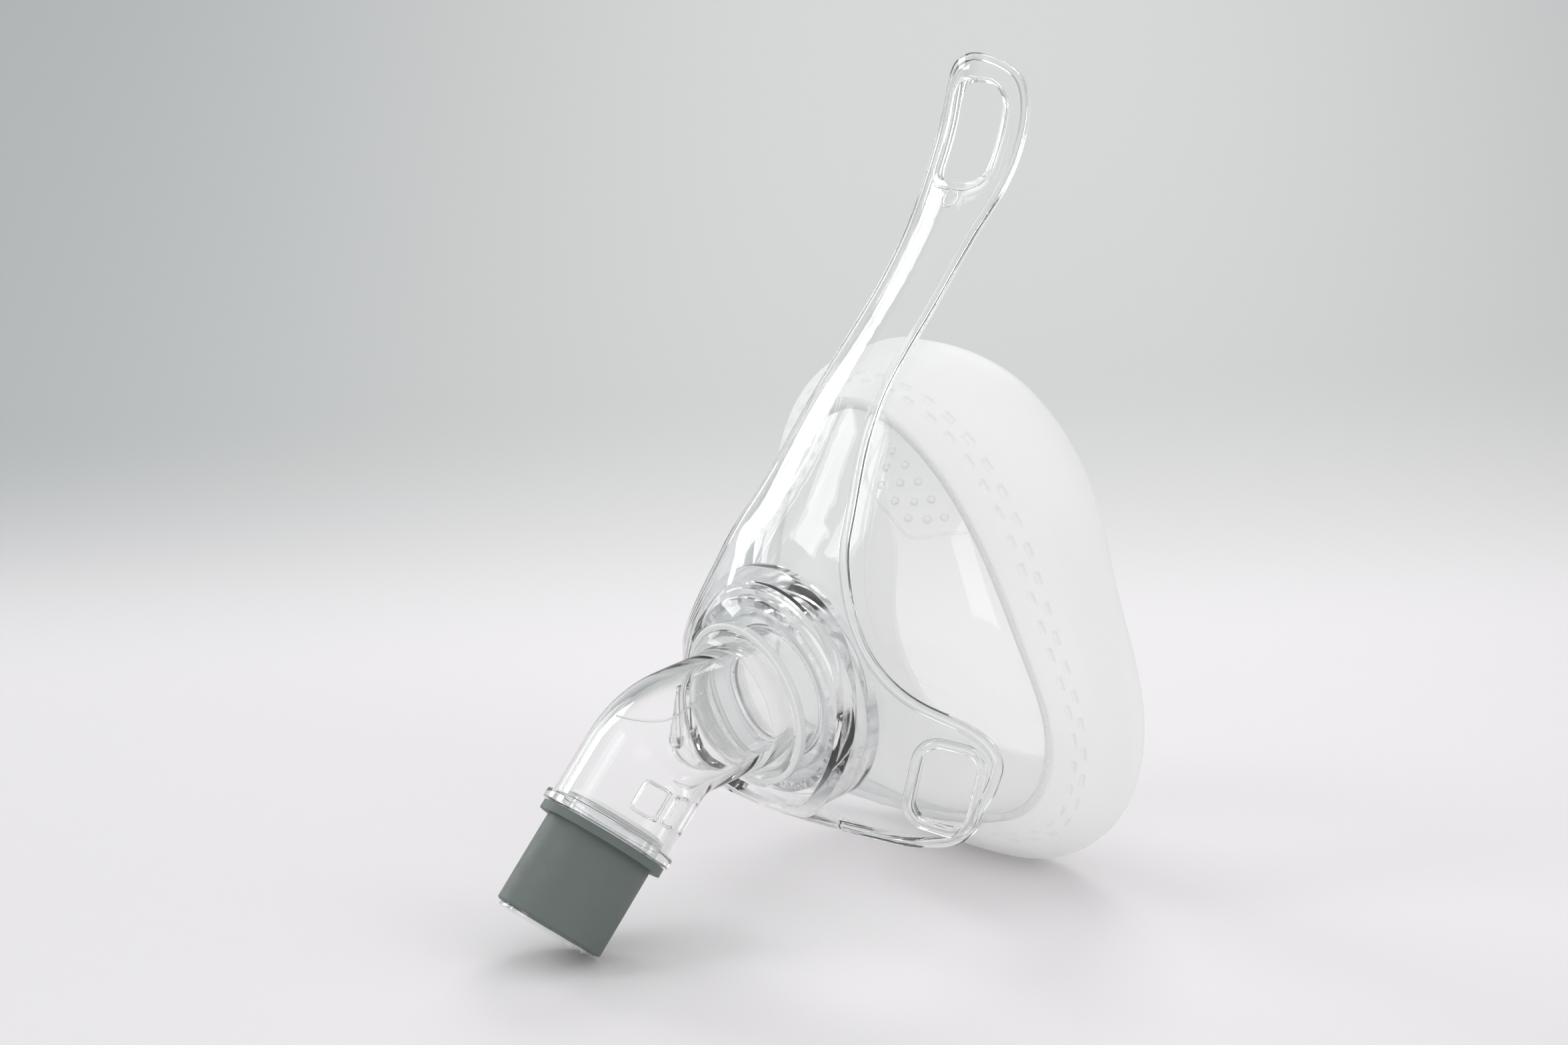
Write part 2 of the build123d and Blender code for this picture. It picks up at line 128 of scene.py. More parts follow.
# Air windows in the elbow: the tube's end from its bend, the windows down from the bend and round from
# the chin side, the wall's two faces, the power of the superellipse, and the radius of the rounded edges
BEND_TO_END = 40.0
WINDOW_DOWN = (6.3, 12.5)
WINDOW_ROUND = (radians(5.1), radians(37.0))
ELBOW_WALL = (10.7, 12.3)
WINDOW_POWER = 6
WINDOW_EDGE = 0.28

# The frame's edge in the front view, from its tip down to under the hub: across and above the hub
FRAME_EDGE = (
    (0, 121.7), (5.2, 120.6), (9.3, 118.0), (11.3, 113.5), (11.9, 105.0), (11.4, 97.5), (9.7, 89.0),
    (8.8, 74.0), (9.2, 60.0), (11.2, 48.0), (14.7, 36.0), (20.6, 22.0), (26.0, 13.6), (35.5, 4.5),
    (43.4, -0.3), (46.7, -5.6), (45.6, -13.0), (43.4, -19.8), (36.7, -23.2), (16.1, -23.8),
)
# Its rounded edge: how far in it lies, and how thick it is, at each height above the hub
EDGE_INSET = 0.8
EDGE_HEIGHTS = (-30.0, 10.0, 60.0, 125.0)
EDGE_RADII = (1.15, 1.05, 0.85, 0.75)
FRAME_HALF_WALL = 1.0

# Strap slots: middle across and above the hub, width, height, corner, turn in degrees;
# their rims: radius, depth in the wall, and how far outside the slot
ARM_SLOT = (0.0, 106.2, 14.0, 20.5, 4.5, 0.0)
ARM_RIM = (0.35, 0.15, 0.9)
WING_SLOT = (39.2, -11.0, 10.8, 14.6, 3.2, -12.0)
WING_RIM = (1.0, 0.8, 0.8)
# How far outside a slot the sheet is felt for, and how far in front of the hub and of the slot the rays start
SLOT_REACH = 1.0
HUB_CLEARANCE = 150.0
SLOT_CLEARANCE = 12.0

# Clear plastic's white glow, the light in its shadow and the colour of its gloss, and the connector's grey
GLOW_WHITE = (0.98, 0.98, 0.98, 1)
SHADOW_TINT = (0.93, 0.94, 0.94, 1)
GLOSS_TINT = (0.9, 0.92, 0.92, 1)
CONNECTOR_GREY = (0.110, 0.134, 0.124, 1)
# A noise lies mostly between these two values
NOISE_SPAN = (0.3, 0.7)
# Sheer plastic reflects these shares of light, seen straight on and seen along its wall
GLANCE_SHARES = (0.04, 0.7)
GLANCE_POWER = 4.0

# Floor and backdrop colours, in the middle and at the sides of the view
# The darker sides and the greyer backdrop are painted shade, where the lamps' light falls off
FLOOR_MIDDLE = (0.79, 0.766, 0.778)
FLOOR_SHADE_LEFT = (0.63, 0.612, 0.625)
FLOOR_SHADE_RIGHT = (0.70, 0.68, 0.69)
WALL_SHADE_MIDDLE = (0.52, 0.525, 0.523)
WALL_SHADE_LEFT = (0.275, 0.293, 0.297)
WALL_SHADE_RIGHT = (0.425, 0.43, 0.435)
# Where each fades into the next, in metres to the left, to the right, and back and up together, and how much
# further up the backdrop starts towards the right
LEFT_FADE = (-0.02, 0.42)
RIGHT_FADE = (0.12, 0.5)
WALL_FADE = (0.18, 0.50)
WALL_LEAN = 0.15

# Lamps: name, place, width and height, all in metres, and watts; each faces the middle of the mask
LAMP_AIM = (0.0, 0.0, 0.08)
LAMPS = (
    ("key_left", (-0.35, -0.75, 0.75), 0.35, 0.35, 1.5),
    ("strip_left", (-0.84, -0.09, 0.40), 0.25, 0.5, 2.0),
    ("fill_right", (0.9, 0.1, 0.5), 0.5, 0.5, 1.1),
    ("back_top", (-0.35, 0.55, 0.6), 0.4, 0.25, 1.4),
)
DAYLIGHT = (0.94, 0.95, 0.955, 1)
DAYLIGHT_STRENGTH = 0.95


def camera_axes():
    """The camera's right, up and forward directions, from its azimuth and elevation."""
    a, e = CAMERA_AZIMUTH, CAMERA_ELEVATION
    right = np.array((cos(a), sin(a), 0.0))
    forward = -np.array((sin(a) * cos(e), -cos(a) * cos(e), sin(e)))
    return right, np.cross(right, forward), forward


def pixel_ray(pixel):
    """The way through a pixel: forward, plus its offset from the middle over the focal length."""
    right, up, forward = camera_axes()
    sideways = (pixel[0] - PHOTO_WIDTH / 2) / FOCAL_PIXELS
    upwards = (PHOTO_HEIGHT / 2 - pixel[1]) / FOCAL_PIXELS
    return forward + right * sideways + up * upwards


CAMERA_PLACE = HUB - HUB_DEPTH * pixel_ray(HUB_PIXEL)


# Materials

def new_material(name):
    """An empty node material with its output; returns the material, its nodes, a linker and the output."""
    material = bpy.data.materials.new(name)
    material.use_nodes = True
    nodes = material.node_tree.nodes
    nodes.clear()
    return material, nodes, material.node_tree.links.new, nodes.new("ShaderNodeOutputMaterial")


def node_with(nodes, kind, **values):
    """A shader node of this kind with these socket values, spaces in their names written as underscores."""
    node = nodes.new("ShaderNode" + kind)
    for socket, value in values.items():
        node.inputs[socket.replace("_", " ")].default_value = value
    return node


def mixed(nodes, link, share, first, second):
    """A mix of two shaders' sockets, with this share of the second: a number or a socket."""
    mix = node_with(nodes, "MixShader")
    if isinstance(share, float):
        mix.inputs["Fac"].default_value = share
    else:
        link(share, mix.inputs["Fac"])
    link(first, mix.inputs[1])
    link(second, mix.inputs[2])
    return mix.outputs["Shader"]


def blended(nodes, link, share, first, second):
    """A mix of two colours, or sockets of colours, with the share of the second from a socket."""
    mix = node_with(nodes, "Mix")
    mix.data_type = "RGBA"
    for socket, colour in (("A", first), ("B", second)):
        if isinstance(colour, tuple):
            mix.inputs[socket].default_value = (*colour, 1)
        else:
            link(colour, mix.inputs[socket])
    link(share, mix.inputs["Factor"])
    return mix.outputs["Result"]


def noise_between(nodes, link, scale, low, high):
    """A slow noise over the piece, mapped to run from low to high."""
    place = node_with(nodes, "TexCoord")
    noise = node_with(nodes, "TexNoise", Scale=scale)
    link(place.outputs["Object"], noise.inputs["Vector"])
    noise_low, noise_high = NOISE_SPAN
    spread = node_with(nodes, "MapRange", From_Min=noise_low, From_Max=noise_high, To_Min=low, To_Max=high)
    link(noise.outputs["Fac"], spread.inputs["Value"])
    return spread.outputs["Result"]


def bumped(nodes, link, shader, scale, strength, distance):
    """Adds a fine noise bump to a shader, its distance in metres."""
    place = node_with(nodes, "TexCoord")
    noise = node_with(nodes, "TexNoise", Scale=scale)
    bump = node_with(nodes, "Bump", Strength=strength, Distance=distance)
    link(place.outputs["Object"], noise.inputs["Vector"])
    link(noise.outputs["Fac"], bump.inputs["Height"])
    link(bump.outputs["Normal"], shader.inputs["Normal"])


def flow_marks(nodes, link, shader, roughness):
    """The faint flow marks of a clear moulding: a gloss that changes slowly, and a very shallow wave."""
    gloss = noise_between(nodes, link, scale=60.0, low=roughness, high=roughness * 2.5)
    link(gloss, shader.inputs["Roughness"])
    bumped(nodes, link, shader, scale=45.0, strength=0.04, distance=0.0006)


def white_glow(nodes, link, clear, share):
    """Mixes a small share of white glow, lit from both sides, into a clear shader's socket."""
    front = node_with(nodes, "BsdfDiffuse", Color=GLOW_WHITE)
    behind = node_with(nodes, "BsdfTranslucent", Color=GLOW_WHITE)
    both = mixed(nodes, link, 0.5, front.outputs["BSDF"], behind.outputs["BSDF"])
    return mixed(nodes, link, share, clear, both)


def clear_plastic(name, tint, index, haze):
    """Glossy clear polycarbonate in thick mouldings: it refracts, has faint flow marks and a pale shadow.

    The haze is its share of white glow, as thick clear plastic has in bright light.
    """
    material, nodes, link, output = new_material(name)
    shader = node_with(nodes, "BsdfPrincipled", Base_Color=(*tint, 1), Transmission_Weight=1.0, IOR=index)
    flow_marks(nodes, link, shader, roughness=0.02)
    hazy = white_glow(nodes, link, shader.outputs["BSDF"], haze)
    light = node_with(nodes, "LightPath")
    through = node_with(nodes, "BsdfTransparent", Color=SHADOW_TINT)
    clear = mixed(nodes, link, light.outputs["Is Shadow Ray"], hazy, through.outputs["BSDF"])
    link(clear, output.inputs["Surface"])
    return material


def sheer_plastic(name, face_tint, edge_tint, haze):
    """Clear polycarbonate in thin walls: light passes straight through, and glancing walls are glossy, grey.

    Both rise with the fourth power of how far the wall faces away. The haze is its share of white glow.
    """
    material, nodes, link, output = new_material(name)
    glance = node_with(nodes, "LayerWeight", Blend=0.5)
    steep = node_with(nodes, "Math")
    steep.operation = "POWER"
    steep.inputs[1].default_value = GLANCE_POWER
    link(glance.outputs["Facing"], steep.inputs[0])
    least, most = GLANCE_SHARES
    mirror = node_with(nodes, "MapRange", To_Min=least, To_Max=most)
    link(steep.outputs["Value"], mirror.inputs["Value"])
    straight = node_with(nodes, "BsdfTransparent")
    link(blended(nodes, link, steep.outputs["Value"], face_tint, edge_tint), straight.inputs["Color"])
    through = white_glow(nodes, link, straight.outputs["BSDF"], haze)
    gloss = node_with(nodes, "BsdfPrincipled", Base_Color=GLOSS_TINT, Metallic=1.0)
    flow_marks(nodes, link, gloss, roughness=0.03)
    clear = mixed(nodes, link, mirror.outputs["Result"], through, gloss.outputs["BSDF"])
    link(clear, output.inputs["Surface"])
    return material


def milky_silicone(name, tint, clear_share):
    """Satin translucent silicone: a milky body that glows with the light behind it, and is a little clear."""
    material, nodes, link, output = new_material(name)
    body = node_with(nodes, "BsdfPrincipled", Base_Color=(*tint, 1), IOR=1.41)
    link(noise_between(nodes, link, scale=90.0, low=0.36, high=0.48), body.inputs["Roughness"])
    bumped(nodes, link, body, scale=900.0, strength=0.10, distance=0.0002)
    glow = node_with(nodes, "BsdfTranslucent", Color=(*tint, 1))
    through = node_with(nodes, "BsdfTransparent")
    milk = mixed(nodes, link, 0.4, body.outputs["BSDF"], glow.outputs["BSDF"])
    link(mixed(nodes, link, clear_share, milk, through.outputs["BSDF"]), output.inputs["Surface"])
    return material


def grey_moulding(name):
    """Fine matte grey-green plastic with a spark-eroded grain."""
    material, nodes, link, output = new_material(name)
    shader = node_with(nodes, "BsdfPrincipled", Base_Color=CONNECTOR_GREY, IOR=1.5)
    link(noise_between(nodes, link, scale=400.0, low=0.46, high=0.56), shader.inputs["Roughness"])
    bumped(nodes, link, shader, scale=2600.0, strength=0.18, distance=0.0002)
    link(shader.outputs["BSDF"], output.inputs["Surface"])
    return material


FRAME_CLEAR = clear_plastic("frame_polycarbonate", (0.99, 0.995, 0.995), index=1.38, haze=0.015)
SHELL_CLEAR = sheer_plastic("shell_polycarbonate", (0.99, 0.99, 0.99), (0.76, 0.78, 0.78), haze=0.16)
ELBOW_CLEAR = clear_plastic("elbow_polycarbonate", (0.99, 0.99, 0.99), index=1.25, haze=0.01)
DISC_CLEAR = clear_plastic("disc_polycarbonate", (0.99, 0.99, 0.99), index=1.25, haze=0.16)
RING_CLEAR = sheer_plastic("ring_polycarbonate", (0.98, 0.985, 0.985), (0.6, 0.64, 0.65), haze=0.06)
DETAIL_CLEAR = clear_plastic("detail_polycarbonate", (0.985, 0.99, 0.99), index=1.35, haze=0.015)
SILICONE = milky_silicone("cushion_silicone", (0.98, 0.98, 0.975), clear_share=0.26)
SEAL = milky_silicone("seal_silicone", (0.97, 0.97, 0.965), clear_share=0.05)
GREY = grey_moulding("connector_grey")


# Lines and surfaces

def unit(vectors):
    """Vectors brought to length one."""
    return vectors / np.linalg.norm(vectors, axis=-1, keepdims=True)


def distances(points):
    """How far along a line of points each of them lies."""
    return np.concatenate(([0], np.cumsum(np.linalg.norm(np.diff(points, axis=0), axis=1))))


def spline_slopes(knots, values, closed):
    """Slopes at the knots of the cubic spline through them: the ones that keep its bending unbroken."""
    count = len(knots) - 1 if closed else len(knots)
    steps = np.diff(knots)
    rates = np.diff(values, axis=0) / steps[:, None]
    system = np.zeros((count, count))
    sides = np.zeros((count, values.shape[1]))
    for i in range(count):
        if not closed and i in (0, count - 1):
            system[i, i] = 2
            system[i, 1 if i == 0 else count - 2] = 1
            sides[i] = 3 * rates[0 if i == 0 else -1]
            continue
        before, after = steps[i - 1], steps[i]
        system[i, (i - 1) % count] += after
        system[i, i] += 2 * (before + after)
        system[i, (i + 1) % count] += before
        sides[i] = 3 * (after * rates[i - 1] + before * rates[i])
    slopes = np.linalg.solve(system, sides)
    return np.concatenate((slopes, slopes[:1])) if closed else slopes


def spline_at(knots, values, places, closed=False):
    """The cubic spline through values at knots, at these places: Hermite pieces with spline_slopes."""
    slopes = spline_slopes(knots, values, closed)
    i = np.clip(np.searchsorted(knots, places, side="right") - 1, 0, len(knots) - 2)
    step = (knots[i + 1] - knots[i])[:, None]
    t = ((places - knots[i])[:, None]) / step
    return (values[i] * (2 * t ** 3 - 3 * t ** 2 + 1) + slopes[i] * step * (t ** 3 - 2 * t ** 2 + t)
            + values[i + 1] * (3 * t ** 2 - 2 * t ** 3) + slopes[i + 1] * step * (t ** 3 - t ** 2))


def frame_of(normal):
    """Two unit vectors across a direction."""
    side = unit(np.cross(normal, (0, 0, 1)))
    return side, np.cross(side, normal)


def directions_round(side, up, around):
    """Directions evenly round a section: cosine times its side plus sine times its up."""
    a = np.arange(around)[:, None] / around * 2 * pi
    return np.cos(a) * side[..., None, :] + np.sin(a) * up[..., None, :]


def dome_bump(place, normal, rings=7, around=24):
    """A low round bump: one minus the squared distance from its middle, with its edge sunk a little."""
    r = np.linspace(0, 1, rings)[:, None, None]
    rise = (DOT_HEIGHT * (1 - r ** 2) - DOT_SUNK) * MM
    return place + DOT_RADIUS * MM * r * directions_round(*frame_of(normal), around) + rise * normal


def bead(line, normals, radius, around=10):
    """A fine raised line: a round section carried along points, half sunk in the surface under it."""
    ahead = np.gradient(line, axis=0)
    if np.allclose(line[0], line[-1]):
        ahead[0] = ahead[-1] = line[1] - line[-2]
    side = unit(np.cross(unit(ahead), normals))
    radii = np.broadcast_to(radius, len(line))[:, None, None]
    return line[:, None] + radii * directions_round(side, normals, around)


# The cushion

def closed_outline(half, outside, count):
    """A half outline grown from its middle, mirrored, and splined round: count points, millimetres."""
    half = np.array(half, float)
    middle = (half[0] + half[-1]) / 2
    length = np.linalg.norm(half - middle, axis=1, keepdims=True)
    half = middle + (half - middle) * (1 + outside / length)
    points = np.concatenate((half, half[-2:0:-1] * (-1, 1), half[:1]))
    knots = distances(points)
    return spline_at(knots, points, np.arange(count) / count * knots[-1], closed=True)


def behind_rim(flat, back):
    """Points on the plane this far behind the shell's rim, from millimetres across and up it to metres."""
    lean_back = np.array((0, cos(RIM_LEAN), sin(RIM_LEAN)))
    lean_up = np.array((0, -sin(RIM_LEAN), cos(RIM_LEAN)))
    start = HUB + (0, RIM_BACK * MM, 0)
    return start + (flat[:, :1] * (1, 0, 0) + flat[:, 1:] * lean_up + back * lean_back) * MM


def down_columns(rows, shares):
    """Rows of points splined from the first to the last, at these shares of the mean column's length.

    Returns the new rows, and how far down each of them lies.
    """
    steps = np.linalg.norm(np.diff(rows, axis=0), axis=2).mean(axis=1)
    knots = np.concatenate(([0], np.cumsum(steps)))
    down = shares * knots[-1]
    return spline_at(knots, rows.reshape(len(rows), -1), down).reshape(len(down), *rows.shape[1:]), down


def sunk_windows(down, around):
    """How sunk each point of the band is, from not at all to fully, by how far down its row lies.

    A window is where two waves are both high. One runs round the band, half a window on in the second row.
    The other runs across it.
    """
    row = (down[:, None] / MM - BAND_START) / BAND_PITCH
    turns = BAND_WINDOWS * np.arange(around) / around
    wave_round = np.cos(2 * pi * (turns[None, :] + 0.5 * np.floor(row)))
    wave_across = np.cos(2 * pi * (row - 0.5))
    high_round = np.clip((wave_round - WINDOW_LEVEL) * WINDOW_STEEPNESS, 0, 1)
    high_across = np.clip((wave_across - WINDOW_LEVEL) * WINDOW_STEEPNESS, 0, 1)
    return high_round * high_across * ((row > 0) & (row < BAND_ROWS))


def cushion_mesh(around=720, outside=84, inside=30, lip=8):
    """The cushion: splines through CUSHION_ROWS outside and a wall further in, joined by a half round lip.

    Each column runs from the rim over the bulb to the face seal's edge and back along the inside. The
    band has two rows of small sunk windows.
    """
    outer = np.stack([behind_rim(closed_outline(outline, out, around), back)
                      for back, outline, out, _, _ in CUSHION_ROWS])
    inner = np.stack([behind_rim(closed_outline(outline, out + further_out, around), back + further_back)
                      for back, outline, out, further_back, further_out in CUSHION_ROWS])
    in_band = outside // 2
    below = np.linspace(BAND_SHARE, 1, outside - in_band + 1)[1:]
    skin, down = down_columns(outer, np.concatenate((np.linspace(0, BAND_SHARE, in_band), below)))
    outward = unit(np.cross(np.roll(skin, -1, axis=1) - np.roll(skin, 1, axis=1), np.gradient(skin, axis=0)))
    from_middle = skin - skin.mean(axis=1, keepdims=True)
    outward *= np.sign(np.sum(outward * from_middle, axis=2, keepdims=True).mean())
    skin -= outward * (BAND_DEPTH * MM * sunk_windows(down, around))[..., None]
    lining = down_columns(inner, np.linspace(0, 1, inside))[0][::-1]
    middle = (skin[-1] + lining[0]) / 2
    half = (skin[-1] - lining[0]) / 2
    ahead = unit(skin[-1] - skin[-2]) * np.linalg.norm(half, axis=1, keepdims=True)
    turn = np.linspace(0, pi, lip + 2)[1:-1, None, None]
    edge = middle + half * np.cos(turn) + ahead * np.sin(turn)
    points = np.concatenate((skin, edge, lining))
    return grid_mesh("cushion_bulb", points, close_rows=True, close_columns=True)


# Meshes and pieces

def grid_mesh(name, points, close_rows=False, close_columns=False):
    """A mesh of quads over a grid of points, rows by columns, closed round where asked."""
    rows, columns = points.shape[:2]
    index = np.arange(rows * columns).reshape(rows, columns)
    if close_rows:
        index = np.concatenate((index, index[:1]), axis=0)
    if close_columns:
        index = np.concatenate((index, index[:, :1]), axis=1)
    corners = (index[:-1, :-1], index[:-1, 1:], index[1:, 1:], index[1:, :-1])
    quads = np.stack(corners, axis=-1).reshape(-1, 4)
    mesh = bpy.data.meshes.new(name)
    mesh.from_pydata(points.reshape(-1, 3), [], quads)
    mesh.polygons.foreach_set("use_smooth", np.ones(len(quads), bool))
    return mesh


def joined(name, grids):
    """One mesh from several grids, each closed round, with its open ends filled and its faces outwards."""
    work = bmesh.new()
    for grid in grids:
        part = grid_mesh("part", grid, close_columns=True)
        work.from_mesh(part)
        bpy.data.meshes.remove(part)
    bmesh.ops.remove_doubles(work, verts=work.verts, dist=TRIM_MERGE * MM)
    bmesh.ops.holes_fill(work, edges=[edge for edge in work.edges if edge.is_boundary], sides=0)
    bmesh.ops.recalc_face_normals(work, faces=work.faces)
    mesh = bpy.data.meshes.new(name)
    work.to_mesh(mesh)
    work.free()
    return mesh


def finished(name, mesh, material, body, replaces=()):
    """Links a mesh as an object at the origin, on its body, with its finish."""
    piece = bpy.data.objects.new(name, mesh)
    bpy.context.scene.collection.objects.link(piece)
    mesh.materials.clear()
    mesh.materials.append(material)
    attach(piece, body)
    if replaces:
        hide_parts(*replaces)
    return piece


def trim(name, grids, material, body="mask"):
    """A piece of fine clear trim, one mesh from its grids."""
    finished(name, joined(name, grids), material, body)


def moulding(node, name, material, body, zone=None):
    """A CAD node's copy with its triangles joined, smooth under the crease angle.

    A zone is a second material, and where it goes: how near the hub axis, and how far forward of the hub.
    """
    mesh = frame["nodes"][node].data.copy()
    mesh.name = name
    work = bmesh.new()
    work.from_mesh(mesh)
    bmesh.ops.remove_doubles(work, verts=work.verts, dist=NODE_MERGE * MM)
    for face in work.faces:
        face.smooth = True
    for edge in work.edges:
        edge.smooth = edge.calc_face_angle(pi) < CREASE
    middles = (np.array([face.calc_center_median() for face in work.faces]) - HUB) / MM
    work.to_mesh(mesh)
    work.free()
    piece = finished(name, mesh, material, body, (node,))
    if zone:
        zone_material, reach, low, high = zone
        forward = middles @ HUB_AXIS
        near = np.linalg.norm(middles - forward[:, None] * HUB_AXIS, axis=1) < reach
        inside = near & (low < forward) & (forward < high)
        mesh.materials.append(zone_material)
        mesh.polygons.foreach_set("material_index", inside.astype(np.int32))
    return piece


def round_edges(piece, width):
    """Rounds a piece's sharp edges with a bevel of this width in metres."""
    bevel = piece.modifiers.new("rounded_edges", "BEVEL")
    bevel.width = width
    bevel.segments = 3
    bevel.limit_method = "ANGLE"
    bevel.angle_limit = radians(45)
    bevel.use_clamp_overlap = True
    bevel.harden_normals = True


# Trim that lies on the CAD nodes

def node_tree(node):
    """A ray-casting tree of a CAD node."""
    mesh = frame["nodes"][node].data
    return BVHTree.FromPolygons([v.co for v in mesh.vertices], [p.vertices for p in mesh.polygons])


def first_hit(tree, start, ahead):
    """Where a ray first meets a CAD node, and the way its face looks there."""
    place, normal, _, _ = tree.ray_cast(Vector(start), Vector(ahead))
    if place is None:
        raise ValueError(f"no face in front of {start}")
    return np.array(place), np.array(normal)


def front_hit(tree, across, above):
    """The face seen straight from the front at this point across and above the hub, and the way it looks."""
    return first_hit(tree, HUB + np.array((across, -HUB_CLEARANCE, above)) * MM, (0.0, 1.0, 0.0))


def on_node(tree, pixel, mirrored=False):
    """The point of a CAD node that the photograph shows at this pixel, and the way its face looks there."""
    place, normal = first_hit(tree, CAMERA_PLACE, Vector(pixel_ray(pixel)).normalized())
    return (place * MIRROR, normal * MIRROR) if mirrored else (place, normal)


def line_on(tree, pixels, mirrored, count):
    """A smooth line on a CAD node through the points that the photograph shows at these pixels."""
    spots = [on_node(tree, pixel, mirrored) for pixel in pixels]
    places = np.array([place for place, _ in spots])
    normals = np.array([normal for _, normal in spots])
    knots = distances(places)
    even = np.linspace(0, knots[-1], count)
    return spline_at(knots, places, even), spline_at(knots, normals, even)


def small_details():
    """Grip dots and their panel's edge on both sides of the shell, the mould mark, the elbow's parting line.

    The mould mark is an ellipse on the plane along the arm.
    """
    shell = node_tree("cushion_shell")
    both = (False, True)
    dots = [dome_bump(*on_node(shell, pixel, mirrored)) for pixel in GRIP_DOTS for mirrored in both]
    trim("grip_dots", dots, SHELL_CLEAR)
    edges = [bead(*line_on(shell, GRIP_EDGE, mirrored, count=80), GRIP_LINE * MM) for mirrored in both]
    trim("grip_panel_edge", edges, SHELL_CLEAR)
    place, normal = on_node(node_tree("frame"), MOULD_MARK)
    side, up = frame_of(normal)
    turn = np.linspace(0, 2 * pi, 49)[:, None]
    ring = place + MARK_RADIUS * MM * (np.cos(turn) * side + MARK_STRETCH * np.sin(turn) * up)
    trim("mould_mark", [bead(ring, np.tile(normal, (len(ring), 1)), MARK_LINE * MM)], DETAIL_CLEAR)
    oval = bead(*line_on(node_tree("elbow"), ELBOW_OVAL, False, count=60), PARTING_LINE * MM)
    trim("elbow_parting_line", [oval], ELBOW_CLEAR, "elbow_unit")


def window_rims(count=161):
    """Rounded edges of the elbow's two air windows, on both faces of its wall.

    Each is a rectangle with round corners, a superellipse of the sixth power, bent round the tube.
    """
    tube = np.array(JOINTS["connector_swivel"]["axis"])
    bend = np.array(JOINTS["connector_swivel"]["pos_m"]) - BEND_TO_END * MM * tube
    side = -np.array(JOINTS["flap_hinge"]["axis"])
    chin = np.cross(side, tube)
    t = np.linspace(0, 2 * pi, count)
    squared = [np.sign(wave) * np.abs(wave) ** (2 / WINDOW_POWER) for wave in (np.sin(t), np.cos(t))]
    down = np.mean(WINDOW_DOWN) + np.ptp(WINDOW_DOWN) / 2 * squared[0]
    turn = np.mean(WINDOW_ROUND) + np.ptp(WINDOW_ROUND) / 2 * squared[1]
    rims = []
    for hand in (-1, 1):
        normals = hand * np.sin(turn)[:, None] * side + np.cos(turn)[:, None] * chin
        for face in ELBOW_WALL:
            line = bend + MM * (down[:, None] * tube + face * normals)
            rims.append(bead(line, normals, WINDOW_EDGE * MM))
    trim("air_window_rims", rims, DETAIL_CLEAR, "elbow_unit")


def edge_bead(tree, casts=150, count=900):
    """The frame's rounded edge: a round section along its outline, set in, in the middle of the sheet's wall.

    The line is the spline of FRAME_EDGE and its mirror image, moved inwards, then laid on the sheet from the
    front.
    """
    half = np.array(FRAME_EDGE, float)
    flat = np.concatenate((half[:0:-1] * (-1, 1), half))
    knots = distances(flat)
    line = spline_at(knots, flat, np.linspace(0, knots[-1], casts))
    ahead = unit(np.gradient(line, axis=0))
    line = line + EDGE_INSET * np.stack((ahead[:, 1], -ahead[:, 0]), axis=1)
    hits = [front_hit(tree, *point) for point in line]
    places = np.array([place - FRAME_HALF_WALL * MM * normal for place, normal in hits])
    normals = np.array([normal for _, normal in hits])
    even = np.linspace(0, casts - 1, count)
    steps = np.arange(casts, dtype=float)
    line = spline_at(steps, places, even)
    radius = np.interp((line[:, 2] - HUB[2]) / MM, EDGE_HEIGHTS, EDGE_RADII)
    return bead(line, spline_at(steps, normals, even), radius * MM, around=16)


def slot_bead(tree, slot, rim, mirrored=False, count=240):
    """A strap slot's rounded rim: a round section along its outline, moved outwards and laid on the sheet.

    The outline is a rectangle with round corners, on the plane that lies along the sheet round the slot.
    """
    across, above, width, height, corner, turn = slot
    rim_radius, depth, outset = rim
    reach_x, reach_z = width / 2 + SLOT_REACH, height / 2 + SLOT_REACH
    left, right = (front_hit(tree, across + hand * reach_x, above)[0] for hand in (-1, 1))
    low, high = (front_hit(tree, across, above + hand * reach_z)[0] for hand in (-1, 1))
    outward = unit(np.cross(right - left, high - low))
    side = unit(np.cross((0, 0, -1), outward))
    up = np.cross(outward, side)
    middle = (low + high) / 2
    half_x, half_z, radius = width / 2 + outset, height / 2 + outset, corner + outset
    a = np.arange(count) / count * 2 * pi
    centre_x = (half_x - radius) * np.sign(np.cos(a))
    centre_z = (half_z - radius) * np.sign(np.sin(a))
    flat = np.stack((centre_x + radius * np.cos(a), centre_z + radius * np.sin(a)), axis=1)
    angle = radians(turn)
    flat = flat @ np.array(((cos(angle), sin(angle)), (-sin(angle), cos(angle))))
    starts = middle + (flat[:, :1] * side + flat[:, 1:] * up + SLOT_CLEARANCE * outward) * MM
    line = np.array([first_hit(tree, start, -outward)[0] - depth * MM * outward for start in starts])
    line = np.concatenate((line, line[:1]))
    knots = distances(line)
    line = spline_at(knots, line, np.linspace(0, knots[-1], 2 * count + 1), closed=True)
    ring = bead(line, np.tile(outward, (len(line), 1)), rim_radius * MM, around=14)
    return ring * MIRROR if mirrored else ring


def frame_rims():
    """The frame's rounded edge and the rims of its three strap slots."""
    tree = node_tree("frame")
    trim("frame_edge", [edge_bead(tree)], DETAIL_CLEAR)
    wings = [slot_bead(tree, WING_SLOT, WING_RIM, mirrored) for mirrored in (False, True)]
    trim("slot_rims", [slot_bead(tree, ARM_SLOT, ARM_RIM), *wings], DETAIL_CLEAR)


# The mask's pieces

